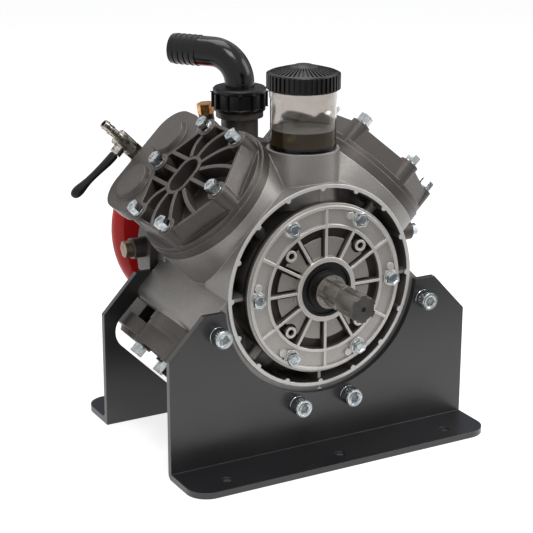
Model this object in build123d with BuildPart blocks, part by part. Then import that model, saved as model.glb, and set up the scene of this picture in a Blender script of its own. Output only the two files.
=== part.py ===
"""Four-headed diaphragm pump on two bent steel rails, with a splined drive shaft.

Frame: millimetres, +Z up. The origin is on the floor, midway between the two rails and
under the shaft axis. The drive shaft points to -Y, the suction side and damper to +Y.
"""
import os
from math import cos, radians, sin, tan

from build123d import *

# Shaft, the standard six-spline tractor end that gives the scale
SPLINE_OUTER_R = 17.45
SPLINE_ROOT_R = 14.85
SPLINE_W = 8.7
SPLINE_COUNT = 6
SPLINE_LEN = 76
SHAFT_TIP_Y = -197.4
GROOVE_FROM_TIP = 38
GROOVE_W = 7
COLLAR_R = 22
JOURNAL_R = 20
RUN_GAP = 0.05

# Overall layout
AXIS_H = 218
RAIL_GAP_HALF = 95.2
PLATE_T = 8
HALF_W = 217.4
SHOULDER_H = AXIS_H - 10.4
CHAMFER_X = 48.1
CHAMFER_Z = 51.3
FOOT_LEN = 70.6
FOOT_CORNER_R = 28
BEND_R = 8
NOTCH_R = 140
HEAD_CUT_HALF = 88
HEAD_CUT_H = 213.5
HEAD_CUT_FILLET = 28
FOOT_HOLE_R = 6.5
FOOT_HOLE_X = 162
FOOT_HOLE_INSET = 26

# Rail bolts
LUG_R_POS = 155.5
LUG_TURN = 14
LUG_R = 16
RAIL_BOLT_R = 7
RAIL_BOLT_HEAD_R = 10.5
RAIL_BOLT_HEAD_H = 13.5
RAIL_WASHER_R = 14
RAIL_WASHER_T = 3
RAIL_SOCKET_AF = 12
RAIL_SOCKET_DEPTH = 7
RAIL_BOLT_IN_LUG = 14

# Crankcase
RING_R = 133.5
RING_WALL = 5
RING_FRONT_Y = -98
RING_DEPTH = 53
RING_BUMPS = 16
RING_BUMP_R = 3.5
HUB_R = 105
BODY_R = 126
RING_BOSS_R = 8
RING_BOSS_Y = -70
BARREL_R = 94.5
BARREL_START_H = 80
FLANGE_H = 150
LUG_BLOCK_START_H = 60
WEB_T = 4
REAR_DISC_T = 20

# Bearing cover
COVER_R = 111
COVER_T = 14
COVER_FACE_Y = -108.2
COVER_LIP_R = 108
COVER_BAND_R = 80
COVER_POCKET_DEPTH = 11
COVER_PAD_R = 67
COVER_PAD_DEPTH = 5
COVER_PAD_GAP = 3
COVER_BAND_DEPTH = 3
COVER_RIBS = 12
COVER_RIB_T = 3.5
COVER_BOLT_RING_R = 97.8
COVER_BOLTS = 6
COVER_BOLT_AF = 16
COVER_BOLT_H = 7
COVER_BOLT_BOSS_R = 11
COVER_EAR_TURNS = (9, 69, 171, 231, 291)
COVER_EAR_R = 5
POST_RING_R = 70.8
POST_R = 7.5
POST_HOLE_R = 4.2
HUB_RING_R = 42
SEAL_R = 36
SEAL_T = 9

# Diaphragm heads
HEAD_ANGLES = {"upper_right": 45, "upper_left": 135, "lower_left": 225, "lower_right": 315}
HEAD_RIM_R = 94.5
HEAD_RIM_T = 13
HEAD_LEDGE_R = 92.5
HEAD_LEDGE_T = 20
HEAD_HEX_R = 94
HEAD_HEX_FILLET = 10
HEAD_DRAFT = 5
HEAD_TOP_H = 198
HEAD_EDGE_H = 194.5
HEAD_WALL = 5
HEAD_POCKET_DEPTH = 20
HEAD_BOLT_RING_R = 80
HEAD_BOLT_BOSS_R = 13
HEAD_BOLTS = 6
HEAD_BOLT_AF = 17
HEAD_BOLT_H = 13
HEAD_BOLT_R = 5
HEAD_BOLT_DEPTH = 20
HEAD_RIB_T = 5
HEAD_RIB_BENDS = (
    ((-8, 16), (-36, 29), (-79, 37)),
    ((2, 23), (-20, 50), (-50, 69)),
    ((16, 27), (14, 54), (-12, 82)),
    ((30, 26), (42, 50), (30, 76)),
)
OVAL_L = 60
OVAL_W = 42
OVAL_A = 15
OVAL_WALL = 4.5
REAR_RIB_B = 21
VALVE_END = 161
VALVE_HALF = 81
VALVE_FILLET = 38
VALVE_BASE_H = 170
VALVE_TOP_H = 190
VALVE_BUMP_R = 28
VALVE_BUMP_A = 114
VALVE_BUMP_B = 38
VALVE_BUMP_H = 7
PORT_Y = 122.8

# Rear manifold, its stubs and plugs
MANIFOLD_R = 146
MANIFOLD_Y0 = 104
MANIFOLD_LEN = 40
MANIFOLD_NECK_R = 60
COLLECTOR_R = 98
COLLECTOR_LEN = 46
DAMPER_Y0 = 197
ARM_HALF = 64
SUCTION_R = 25
SUCTION_FLANGE_R = 32
SUCTION_FLANGE_T = 8
SUCTION_TOP_Z = AXIS_H + 186
NUT_R = 36
NUT_H = 32
NUT_LUGS = 6
ELBOW_R = 20
ELBOW_BEND_R = 40
ELBOW_RISE = 4
ELBOW_TURN = 126
TAIL_R = 19
TAIL_BARB_R = 22
TAIL_LEN = 60
TAIL_BARBS = 5
SIDE_PLUG_Z = AXIS_H + 15
SIDE_BOSS_R = 14
SIDE_BOSS_X = 164
SIDE_PLUG_AF = 20
SIDE_PLUG_H = 11
OUTLET_Y = 176
TOP_PLUG_TURN = 97.8
TOP_BOSS_LEN = 176
TOP_BOSS_R = 10.5
TOP_PLUG_AF = 20
TOP_PLUG_H = 14
RIGHT_PORT_Y = -7
RIGHT_PORT_Z = AXIS_H + 25
RIGHT_PORT_R = 13
RIGHT_PORT_X0 = 140
RIGHT_PORT_X1 = 191
RIGHT_BOLT_AF = 14
RIGHT_BOLT_H = 11

# Damper, a rounded red vessel on the pump's axis behind the manifold
DAMPER_COLLAR_R = 66
DAMPER_RIDGE_R = 124
DAMPER_R = 134.5
DAMPER_FACE_Y = 236.8
DAMPER_RIM_Y = 256.8
DAMPER_BACK_Y = 318
DAMPER_BACK_R = 24

# Oil cup
CUP_Y = -47.2
CUP_BASE_Z = AXIS_H + 171
GLASS_R = 42.6
GLASS_WALL = 3
GLASS_TOP_Z = CUP_BASE_Z + 74
OIL_TOP_Z = CUP_BASE_Z + 25
CAP_R = 46.7
CAP_SIDE_H = 22
CAP_TOP_Z = GLASS_TOP_Z + 32
CAP_FLUTES = 36
CAP_FLUTE_R = 1.6
CUP_BOSS_R = 46

# Tap on the collector behind the upper left head
TAP_TURN = 135
TAP_PIPE_R = 12
TAP_PIPE_LEN = 182
TAP_NUT_AF = 22
TAP_NUT_H = 13
TAP_BODY_R = 11.5
TAP_BODY_H = 25
TAP_TAIL_R = 6
TAP_TAIL_BARB_R = 6.9
TAP_TIP_H = 248.5
TAP_STEM_R = 4
TAP_STEM_LEN = 30
TAP_SPACER_R = 8
TAP_SPACER_B = 20
TAP_LEVER_END_B = 100
TAP_LEVER_LEAN = 13
TAP_LEVER_W = 12.5
TAP_LEVER_T = 9
TAP_BULB_W = 18
TAP_BULB_L = 26


def axis_plane(y):
    """Plane across the shaft at this y, its normal to the front."""
    return Plane(origin=(0, y, AXIS_H), x_dir=(1, 0, 0), z_dir=(0, -1, 0))


def out_plane(angle, y=0):
    """Plane through the shaft axis whose normal runs outward and whose X runs rearward."""
    out = (cos(radians(angle)), 0, sin(radians(angle)))
    return Plane(origin=(0, y, AXIS_H), x_dir=(0, 1, 0), z_dir=out)


def radial_spot(distance, turn):
    """Place across the shaft at this distance and angle, its X running outward."""
    return Location((distance * cos(radians(turn)), distance * sin(radians(turn)), 0), (0, 0, turn))


RAIL_OUT_Y = RAIL_GAP_HALF + PLATE_T
FOOT_EDGE_Y = RAIL_OUT_Y + FOOT_LEN
LUG_SPOTS = [
    (side * LUG_R_POS * cos(radians(turn)), -LUG_R_POS * sin(radians(turn)))
    for side in (-1, 1)
    for turn in (LUG_TURN, 90 - LUG_TURN)
]
LUG_BLOCK_HALF = LUG_R_POS * sin(radians(45 - LUG_TURN)) + LUG_R
COVER_BACK_Y = COVER_FACE_Y + COVER_T
RING_FLOOR_Y = RING_FRONT_Y + RING_DEPTH
BACK_Y = MANIFOLD_Y0
POCKET_H = HEAD_EDGE_H - HEAD_POCKET_DEPTH
HEAD_TAPER_T = HEAD_EDGE_H - FLANGE_H - HEAD_LEDGE_T
HEAD_POCKET_R = HEAD_HEX_R - HEAD_TAPER_T * tan(radians(HEAD_DRAFT)) - HEAD_WALL
VALVE_START = HEAD_RIM_R - 30


def build_rail(side, name):
    """One bent rail; side is -1 for the front and 1 for the rear."""
    inner = side * RAIL_GAP_HALF
    outer = side * RAIL_OUT_Y
    edge = side * FOOT_EDGE_Y
    with BuildPart() as rail:
        with BuildSketch(Plane.YZ) as profile:
            with BuildLine():
                Polyline(
                    (inner, 0),
                    (edge, 0),
                    (edge, PLATE_T),
                    (outer, PLATE_T),
                    (outer, SHOULDER_H),
                    (inner, SHOULDER_H),
                    close=True,
                )
            make_face()
            inside = profile.vertices().sort_by_distance((0, outer, PLATE_T))[0]
            corner = profile.vertices().sort_by_distance((0, inner, 0))[0]
            fillet(inside, BEND_R)
            fillet(corner, BEND_R + PLATE_T)
        extrude(amount=HALF_W, both=True)
        corners = rail.edges().filter_by(Axis.Z).filter_by_position(Axis.Y, edge - 1, edge + 1)
        fillet(corners, FOOT_CORNER_R)
        # cut shoulders, the round notch and the bolt holes
        with BuildSketch(axis_plane(0)):
            for hand in (-1, 1):
                with BuildLine():
                    Polyline(
                        (hand * (HALF_W - CHAMFER_X), SHOULDER_H - AXIS_H),
                        (hand * HALF_W, SHOULDER_H - AXIS_H - CHAMFER_Z),
                        (hand * (HALF_W + 5), SHOULDER_H - AXIS_H - CHAMFER_Z),
                        (hand * (HALF_W + 5), SHOULDER_H - AXIS_H + 5),
                        (hand * (HALF_W - CHAMFER_X), SHOULDER_H - AXIS_H + 5),
                        close=True,
                    )
                make_face()
            Circle(NOTCH_R)
            with Locations(*LUG_SPOTS):
                Circle(RAIL_BOLT_R + RUN_GAP)
        extrude(amount=RAIL_OUT_Y + 1, both=True, mode=Mode.SUBTRACT)
        if side > 0:
            # the two lower heads reach through the rear rail
            with BuildSketch(axis_plane(edge + 1)):
                for turn in (225, 315):
                    with Locations(radial_spot((FLANGE_H + HEAD_CUT_H) / 2, turn)):
                        RectangleRounded(HEAD_CUT_H - FLANGE_H, 2 * HEAD_CUT_HALF, HEAD_CUT_FILLET)
                    with Locations(radial_spot((FLANGE_H + VALVE_TOP_H) / 2, turn)):
                        Rectangle(VALVE_TOP_H - FLANGE_H, 2 * HEAD_CUT_HALF)
            extrude(amount=edge + 1 - inner, mode=Mode.SUBTRACT)
        # three bolt holes in the foot
        with BuildSketch(Plane.XY):
            with Locations((0, edge - side * FOOT_HOLE_INSET)):
                with GridLocations(FOOT_HOLE_X, 0, 3, 1):
                    Circle(FOOT_HOLE_R)
        extrude(amount=PLATE_T, mode=Mode.SUBTRACT)
    rail.part.label = name
    return rail


with BuildPart() as crankcase:
    # body across the shaft, from the ring floor to the manifold
    with BuildSketch(axis_plane(BACK_Y)):
        Circle(RING_R)
    extrude(amount=REAR_DISC_T)
    with BuildSketch(axis_plane(BACK_Y - REAR_DISC_T)):
        Circle(BODY_R)
    extrude(amount=BACK_Y - REAR_DISC_T - RING_FLOOR_Y)
    # four barrels for the diaphragms
    for turn in HEAD_ANGLES.values():
        with BuildSketch(out_plane(turn).offset(BARREL_START_H)):
            Circle(BARREL_R)
        extrude(amount=FLANGE_H - BARREL_START_H)
    # square lug blocks on the two lower barrels, from rail to rail
    with BuildSketch(axis_plane(0)):
        for turn in (225, 315):
            with Locations(radial_spot((LUG_BLOCK_START_H + FLANGE_H) / 2, turn)):
                RectangleRounded(FLANGE_H - LUG_BLOCK_START_H, 2 * LUG_BLOCK_HALF, LUG_R)
    extrude(amount=RAIL_GAP_HALF, both=True)
    # open bell around the bearing cover
    with BuildSketch(axis_plane(RING_FLOOR_Y + 10)):
        Circle(RING_R)
    extrude(amount=RING_FLOOR_Y + 10 - RING_FRONT_Y)
    with BuildSketch(axis_plane(RING_FRONT_Y)):
        Circle(RING_R - RING_WALL)
    extrude(amount=RING_FRONT_Y - COVER_BACK_Y, mode=Mode.SUBTRACT)
    with BuildSketch(axis_plane(COVER_BACK_Y)):
        Circle(RING_R - RING_WALL)
        Circle(HUB_R, mode=Mode.SUBTRACT)
    extrude(amount=COVER_BACK_Y - RING_FLOOR_Y, mode=Mode.SUBTRACT)
    with BuildSketch(axis_plane(RING_FLOOR_Y)):
        with PolarLocations(RING_R - RING_WALL, RING_BUMPS):
            Circle(RING_BUMP_R)
        with PolarLocations((HUB_R + RING_R) / 2 - 1, 4):
            Rectangle(RING_R - HUB_R - 3, WEB_T)
    extrude(amount=RING_FLOOR_Y - COVER_BACK_Y)
    with BuildSketch(axis_plane(COVER_BACK_Y)):
        with PolarLocations(RING_R - RING_WALL, RING_BUMPS):
            Circle(RING_BUMP_R)
    extrude(amount=COVER_BACK_Y - RING_FRONT_Y)
    for turn in HEAD_ANGLES.values():
        with BuildSketch(out_plane(turn).offset(HUB_R - 5)):
            with Locations((RING_BOSS_Y, 0)):
                Circle(RING_BOSS_R)
        extrude(amount=RING_R - HUB_R + 3)
    # boss under the oil cup
    with BuildSketch(Plane(origin=(0, CUP_Y, AXIS_H))):
        Circle(CUP_BOSS_R)
    extrude(amount=CUP_BASE_Z - AXIS_H)
    # shaft bore, rail bolt holes
    with BuildSketch(axis_plane(COVER_BACK_Y)):
        Circle(JOURNAL_R + RUN_GAP)
    extrude(amount=-60, mode=Mode.SUBTRACT)
    for side in (-1, 1):
        with BuildSketch(axis_plane(side * RAIL_GAP_HALF)):
            with Locations(*LUG_SPOTS):
                Circle(RAIL_BOLT_R + RUN_GAP)
        extrude(amount=side * (RAIL_BOLT_IN_LUG + 1), mode=Mode.SUBTRACT)
crankcase.part.label = "crankcase"

with BuildPart() as bearing_cover:
    with BuildSketch(axis_plane(COVER_BACK_Y)):
        Circle(COVER_R)
    extrude(amount=COVER_T - COVER_BAND_DEPTH)
    with BuildSketch(axis_plane(COVER_BACK_Y)):
        Circle(COVER_LIP_R)
    extrude(amount=COVER_T)
    # shallow outer band between the bolt bosses, with short ribs and cast ears
    with BuildSketch(axis_plane(COVER_FACE_Y)):
        Circle(COVER_LIP_R - 4)
        Circle(COVER_BAND_R + 4, mode=Mode.SUBTRACT)
        with PolarLocations(COVER_BOLT_RING_R, COVER_BOLTS):
            Circle(COVER_BOLT_BOSS_R, mode=Mode.SUBTRACT)
        for turn in COVER_EAR_TURNS:
            with PolarLocations(COVER_BOLT_RING_R, 1, start_angle=turn):
                Circle(COVER_EAR_R, mode=Mode.SUBTRACT)
        with PolarLocations(COVER_BOLT_RING_R, COVER_BOLTS, start_angle=180 / COVER_BOLTS):
            Rectangle(COVER_R - COVER_BAND_R, COVER_RIB_T, mode=Mode.SUBTRACT)
    extrude(amount=-COVER_BAND_DEPTH, mode=Mode.SUBTRACT)
    # ribbed pocket ring with a raised pad between each two ribs
    with BuildSketch(axis_plane(COVER_FACE_Y)):
        Circle(COVER_BAND_R)
        Circle(HUB_RING_R, mode=Mode.SUBTRACT)
        with PolarLocations((COVER_BAND_R + HUB_RING_R) / 2, COVER_RIBS):
            Rectangle(COVER_BAND_R - HUB_RING_R + 4, COVER_RIB_T, mode=Mode.SUBTRACT)
    extrude(amount=-COVER_POCKET_DEPTH, mode=Mode.SUBTRACT)
    with BuildSketch(axis_plane(COVER_FACE_Y + COVER_POCKET_DEPTH)):
        Circle(COVER_PAD_R)
        Circle(HUB_RING_R - 1, mode=Mode.SUBTRACT)
        with PolarLocations((COVER_BAND_R + HUB_RING_R) / 2, COVER_RIBS):
            Rectangle(COVER_BAND_R - HUB_RING_R + 8, COVER_RIB_T + 2 * COVER_PAD_GAP, mode=Mode.SUBTRACT)
        with PolarLocations(POST_RING_R, 4, start_angle=45):
            Circle(POST_R + COVER_PAD_GAP, mode=Mode.SUBTRACT)
    extrude(amount=COVER_POCKET_DEPTH - COVER_PAD_DEPTH)
    # four threaded posts
    with BuildSketch(axis_plane(COVER_FACE_Y + COVER_POCKET_DEPTH)):
        with PolarLocations(POST_RING_R, 4, start_angle=45):
            Circle(POST_R)
    extrude(amount=COVER_POCKET_DEPTH)
    with BuildSketch(axis_plane(COVER_FACE_Y)):
        with PolarLocations(POST_RING_R, 4, start_angle=45):
            Circle(POST_HOLE_R)
    extrude(amount=-COVER_POCKET_DEPTH - 2, mode=Mode.SUBTRACT)
    # hub ring around the seal
    with BuildSketch(axis_plane(COVER_FACE_Y)):
        Circle(HUB_RING_R)
    extrude(amount=2)
    with BuildSketch(axis_plane(COVER_FACE_Y - 2)):
        Circle(SEAL_R)
    extrude(amount=-SEAL_T, mode=Mode.SUBTRACT)
    with BuildSketch(axis_plane(COVER_FACE_Y - 2)):
        Circle(COLLAR_R + RUN_GAP)
    extrude(amount=-COVER_T - 2, mode=Mode.SUBTRACT)
bearing_cover.part.label = "bearing_cover"

with BuildPart() as cover_bolts:
    with BuildSketch(axis_plane(COVER_FACE_Y)):
        with PolarLocations(COVER_BOLT_RING_R, COVER_BOLTS):
            RegularPolygon(radius=COVER_BOLT_AF / 2, side_count=6, major_radius=False)
    extrude(amount=COVER_BOLT_H)
cover_bolts.part.label = "cover_bolts"

with BuildPart() as shaft_seal:
    with BuildSketch(axis_plane(COVER_FACE_Y - 2 + SEAL_T)):
        Circle(SEAL_R)
        Circle(COLLAR_R + RUN_GAP, mode=Mode.SUBTRACT)
    extrude(amount=SEAL_T - 1)
    with BuildSketch(axis_plane(COVER_FACE_Y - 1)):
        Circle(SEAL_R - 3)
        Circle(COLLAR_R + 4, mode=Mode.SUBTRACT)
    extrude(amount=-3, mode=Mode.SUBTRACT)
shaft_seal.part.label = "shaft_seal"

SPLINE_END_Y = SHAFT_TIP_Y + SPLINE_LEN
with BuildPart() as drive_shaft:
    with BuildSketch(axis_plane(SPLINE_END_Y)):
        Circle(SPLINE_ROOT_R)
        with PolarLocations(SPLINE_ROOT_R - 1, SPLINE_COUNT, start_angle=30):
            Rectangle(2 * (SPLINE_OUTER_R - SPLINE_ROOT_R + 1), SPLINE_W)
    extrude(amount=SPLINE_LEN)
    with BuildSketch(axis_plane(SPLINE_END_Y)):
        Circle(SPLINE_OUTER_R + 4)
        Circle(SPLINE_OUTER_R, mode=Mode.SUBTRACT)
    extrude(amount=SPLINE_LEN, mode=Mode.SUBTRACT)
    with BuildSketch(axis_plane(SHAFT_TIP_Y + GROOVE_FROM_TIP)):
        Circle(SPLINE_OUTER_R + 1)
        Circle(SPLINE_ROOT_R, mode=Mode.SUBTRACT)
    extrude(amount=-GROOVE_W, mode=Mode.SUBTRACT)
    with BuildSketch(axis_plane(COVER_BACK_Y)):
        Circle(COLLAR_R)
    extrude(amount=COVER_BACK_Y - SPLINE_END_Y)
    with BuildSketch(axis_plane(COVER_BACK_Y)):
        Circle(JOURNAL_R)
    extrude(amount=-58)
    with BuildSketch(axis_plane(SHAFT_TIP_Y)):
        Circle(3)
    extrude(amount=-10, mode=Mode.SUBTRACT)
drive_shaft.part.label = "drive_shaft"


def build_head(name, turn):
    """One ribbed diaphragm head with its valve block at the rear."""
    base = out_plane(turn)
    with BuildPart() as head:
        # round flange and ledge, then the drafted hexagon
        with BuildSketch(base.offset(FLANGE_H)):
            Circle(HEAD_RIM_R)
        extrude(amount=HEAD_RIM_T)
        with BuildSketch(base.offset(FLANGE_H)):
            Circle(HEAD_LEDGE_R)
        extrude(amount=HEAD_LEDGE_T)
        with BuildSketch(base.offset(FLANGE_H + HEAD_LEDGE_T)) as cover:
            RegularPolygon(radius=HEAD_HEX_R, side_count=6)
            fillet(cover.vertices(), HEAD_HEX_FILLET)
        extrude(amount=HEAD_TAPER_T, taper=HEAD_DRAFT)
        with BuildSketch(base.offset(VALVE_BASE_H)):
            with Locations(((VALVE_START + VALVE_END) / 2, 0)):
                RectangleRounded(VALVE_END - VALVE_START, 2 * VALVE_HALF, VALVE_FILLET)
        extrude(amount=VALVE_TOP_H - VALVE_BASE_H)
        # two domed valve chambers
        with BuildSketch(base.offset(VALVE_TOP_H)):
            with Locations((VALVE_BUMP_A, VALVE_BUMP_B), (VALVE_BUMP_A, -VALVE_BUMP_B)):
                Circle(VALVE_BUMP_R)
        extrude(amount=VALVE_BUMP_H, taper=25)
        # deep top with swirled ribs around a central oval
        with BuildSketch(base.offset(HEAD_EDGE_H)) as pocket:
            RegularPolygon(radius=HEAD_POCKET_R, side_count=6)
            fillet(pocket.vertices(), HEAD_HEX_FILLET - HEAD_WALL)
        extrude(amount=-HEAD_POCKET_DEPTH, mode=Mode.SUBTRACT)
        with BuildSketch(base.offset(POCKET_H)):
            for bend in HEAD_RIB_BENDS:
                for side in (-1, 1):
                    with BuildLine():
                        Spline(*((a, side * b) for a, b in bend))
                    trace(line_width=HEAD_RIB_T)
            with Locations(*((HEAD_POCKET_R / 2, side * REAR_RIB_B) for side in (-1, 0, 1))):
                Rectangle(HEAD_POCKET_R - OVAL_A, HEAD_RIB_T)
            with Locations((-HEAD_POCKET_R / 2, 0)):
                Rectangle(HEAD_POCKET_R, HEAD_RIB_T)
            with Locations((OVAL_A, 0)):
                SlotOverall(OVAL_L, OVAL_W, rotation=90)
            RegularPolygon(radius=HEAD_POCKET_R + 2, side_count=6, mode=Mode.INTERSECT)
            with Locations((OVAL_A, 0)):
                SlotOverall(OVAL_L - 2 * OVAL_WALL, OVAL_W - 2 * OVAL_WALL, rotation=90, mode=Mode.SUBTRACT)
        extrude(amount=HEAD_POCKET_DEPTH)
        # six bolt columns standing a little proud
        with BuildSketch(base.offset(FLANGE_H)):
            with PolarLocations(HEAD_BOLT_RING_R, HEAD_BOLTS):
                Circle(HEAD_BOLT_BOSS_R)
        extrude(amount=HEAD_TOP_H - FLANGE_H)
        with BuildSketch(base.offset(HEAD_TOP_H)):
            with PolarLocations(HEAD_BOLT_RING_R, HEAD_BOLTS):
                Circle(HEAD_BOLT_R + RUN_GAP)
        extrude(amount=-HEAD_BOLT_DEPTH - 1, mode=Mode.SUBTRACT)
    head.part.label = name
    return head


def build_head_bolts(name, turn):
    """Six hexagon bolts on one head."""
    base = out_plane(turn)
    with BuildPart() as bolts:
        with BuildSketch(base.offset(HEAD_TOP_H)):
            with PolarLocations(HEAD_BOLT_RING_R, HEAD_BOLTS):
                RegularPolygon(radius=HEAD_BOLT_AF / 2, side_count=6, major_radius=False)
        extrude(amount=HEAD_BOLT_H)
        with BuildSketch(base.offset(HEAD_TOP_H)):
            with PolarLocations(HEAD_BOLT_RING_R, HEAD_BOLTS):
                Circle(HEAD_BOLT_R)
        extrude(amount=-HEAD_BOLT_DEPTH)
    bolts.part.label = name
    return bolts


def build_rail_bolts(side, name):
    """Four socket bolts with washers that hold one rail to the crankcase."""
    face = axis_plane(side * RAIL_OUT_Y)
    way = -side
    with BuildPart() as bolts:
        with BuildSketch(face):
            with Locations(*LUG_SPOTS):
                Circle(RAIL_WASHER_R)
        extrude(amount=way * RAIL_WASHER_T)
        with BuildSketch(face):
            with Locations(*LUG_SPOTS):
                Circle(RAIL_BOLT_HEAD_R)
        extrude(amount=way * (RAIL_WASHER_T + RAIL_BOLT_HEAD_H))
        with BuildSketch(face):
            with Locations(*LUG_SPOTS):
                Circle(RAIL_BOLT_R)
        extrude(amount=-way * (PLATE_T + RAIL_BOLT_IN_LUG))
        with BuildSketch(axis_plane(side * (RAIL_OUT_Y + RAIL_WASHER_T + RAIL_BOLT_HEAD_H))):
            with Locations(*LUG_SPOTS):
                RegularPolygon(radius=RAIL_SOCKET_AF / 2, side_count=6, major_radius=False)
        extrude(amount=-way * RAIL_SOCKET_DEPTH, mode=Mode.SUBTRACT)
    bolts.part.label = name
    return bolts


with BuildPart() as rear_manifold:
    with BuildSketch(axis_plane(MANIFOLD_Y0)):
        Circle(MANIFOLD_R)
    extrude(amount=-MANIFOLD_LEN)
    with BuildSketch(axis_plane(MANIFOLD_Y0 + MANIFOLD_LEN)):
        Circle(COLLECTOR_R)
    extrude(amount=-COLLECTOR_LEN)
    with BuildSketch(axis_plane(MANIFOLD_Y0 + MANIFOLD_LEN)):
        Circle(MANIFOLD_NECK_R)
    extrude(amount=-(DAMPER_Y0 - MANIFOLD_Y0 - MANIFOLD_LEN))
    # arms under the four valve blocks
    for turn in HEAD_ANGLES.values():
        with BuildSketch(out_plane(turn).offset(MANIFOLD_R * 0.6)):
            with Locations((MANIFOLD_Y0 + MANIFOLD_LEN / 2, 0)):
                Rectangle(MANIFOLD_LEN, 2 * ARM_HALF)
        extrude(amount=VALVE_BASE_H - MANIFOLD_R * 0.6)
    # room for the washers of the rear rail bolts
    with BuildSketch(axis_plane(MANIFOLD_Y0)):
        with Locations(*LUG_SPOTS):
            Circle(RAIL_WASHER_R + 3)
    extrude(amount=-MANIFOLD_LEN, mode=Mode.SUBTRACT)
    # suction neck
    with BuildSketch(Plane(origin=(0, PORT_Y, AXIS_H + RING_R + 1))):
        Circle(SUCTION_R)
    extrude(amount=SUCTION_TOP_Z - AXIS_H - RING_R - 1)
    with BuildSketch(Plane(origin=(0, PORT_Y, SUCTION_TOP_Z))):
        Circle(SUCTION_FLANGE_R)
    extrude(amount=-SUCTION_FLANGE_T)
    # stubs on the collector for the top plug and the tap
    with BuildSketch(out_plane(TOP_PLUG_TURN, OUTLET_Y)):
        Circle(TOP_BOSS_R)
    extrude(amount=TOP_BOSS_LEN)
    with BuildSketch(out_plane(TAP_TURN, OUTLET_Y)):
        Circle(TAP_PIPE_R)
    extrude(amount=TAP_PIPE_LEN)
    # boss for the side plug
    with BuildSketch(Plane(origin=(0, PORT_Y, SIDE_PLUG_Z), x_dir=(0, 1, 0), z_dir=(-1, 0, 0))):
        Circle(SIDE_BOSS_R)
    extrude(amount=SIDE_BOSS_X)
rear_manifold.part.label = "rear_manifold"

with BuildPart() as side_plug:
    with BuildSketch(Plane(origin=(-SIDE_BOSS_X, PORT_Y, SIDE_PLUG_Z), x_dir=(0, 1, 0), z_dir=(-1, 0, 0))):
        RegularPolygon(radius=SIDE_PLUG_AF / 2, side_count=6, major_radius=False)
    extrude(amount=SIDE_PLUG_H)
side_plug.part.label = "side_plug"

with BuildPart() as top_plug:
    with BuildSketch(out_plane(TOP_PLUG_TURN, OUTLET_Y).offset(TOP_BOSS_LEN)):
        RegularPolygon(radius=TOP_PLUG_AF / 2, side_count=6, major_radius=False)
    extrude(amount=TOP_PLUG_H)
top_plug.part.label = "top_plug"

RIGHT_PLANE = Plane(origin=(0, RIGHT_PORT_Y, RIGHT_PORT_Z), x_dir=(0, 1, 0), z_dir=(1, 0, 0))
with BuildPart() as right_port:
    with BuildSketch(RIGHT_PLANE.offset(RIGHT_PORT_X0)):
        Circle(RIGHT_PORT_R)
    extrude(amount=RIGHT_PORT_X1 - RIGHT_PORT_X0)
    add(crankcase.part, mode=Mode.SUBTRACT)
right_port.part.label = "right_port"

with BuildPart() as right_port_bolt:
    with BuildSketch(RIGHT_PLANE.offset(RIGHT_PORT_X1)):
        RegularPolygon(radius=RIGHT_BOLT_AF / 2, side_count=6, major_radius=False)
    extrude(amount=RIGHT_BOLT_H)
right_port_bolt.part.label = "right_port_bolt"

with BuildPart() as pulsation_damper:
    with BuildSketch(Plane.YZ):
        with BuildLine():
            foot = (DAMPER_Y0, AXIS_H)
            collar = (DAMPER_Y0, AXIS_H + DAMPER_COLLAR_R)
            ridge = (DAMPER_FACE_Y, AXIS_H + DAMPER_RIDGE_R)
            rim = (DAMPER_RIM_Y, AXIS_H + DAMPER_R)
            back_edge = (DAMPER_BACK_Y, AXIS_H + DAMPER_BACK_R)
            back = (DAMPER_BACK_Y, AXIS_H)
            Line(foot, collar)
            Line(collar, (DAMPER_Y0 + 22, AXIS_H + DAMPER_COLLAR_R))
            Line((DAMPER_Y0 + 22, AXIS_H + DAMPER_COLLAR_R), ridge)
            ThreePointArc(ridge, (DAMPER_FACE_Y + 6, AXIS_H + DAMPER_R - 3.5), rim)
            ThreePointArc(rim, (DAMPER_RIM_Y + 40, AXIS_H + DAMPER_R * 0.72), back_edge)
            Line(back_edge, back)
            Line(back, foot)
        make_face()
    revolve(axis=Axis((0, 0, AXIS_H), (0, 1, 0)))
pulsation_damper.part.label = "pulsation_damper"

with BuildPart() as suction_nut:
    with BuildSketch(Plane(origin=(0, PORT_Y, SUCTION_TOP_Z))):
        Circle(NUT_R)
        with PolarLocations(NUT_R, NUT_LUGS):
            Rectangle(6, 8)
    extrude(amount=NUT_H)
suction_nut.part.label = "suction_nut"

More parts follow.
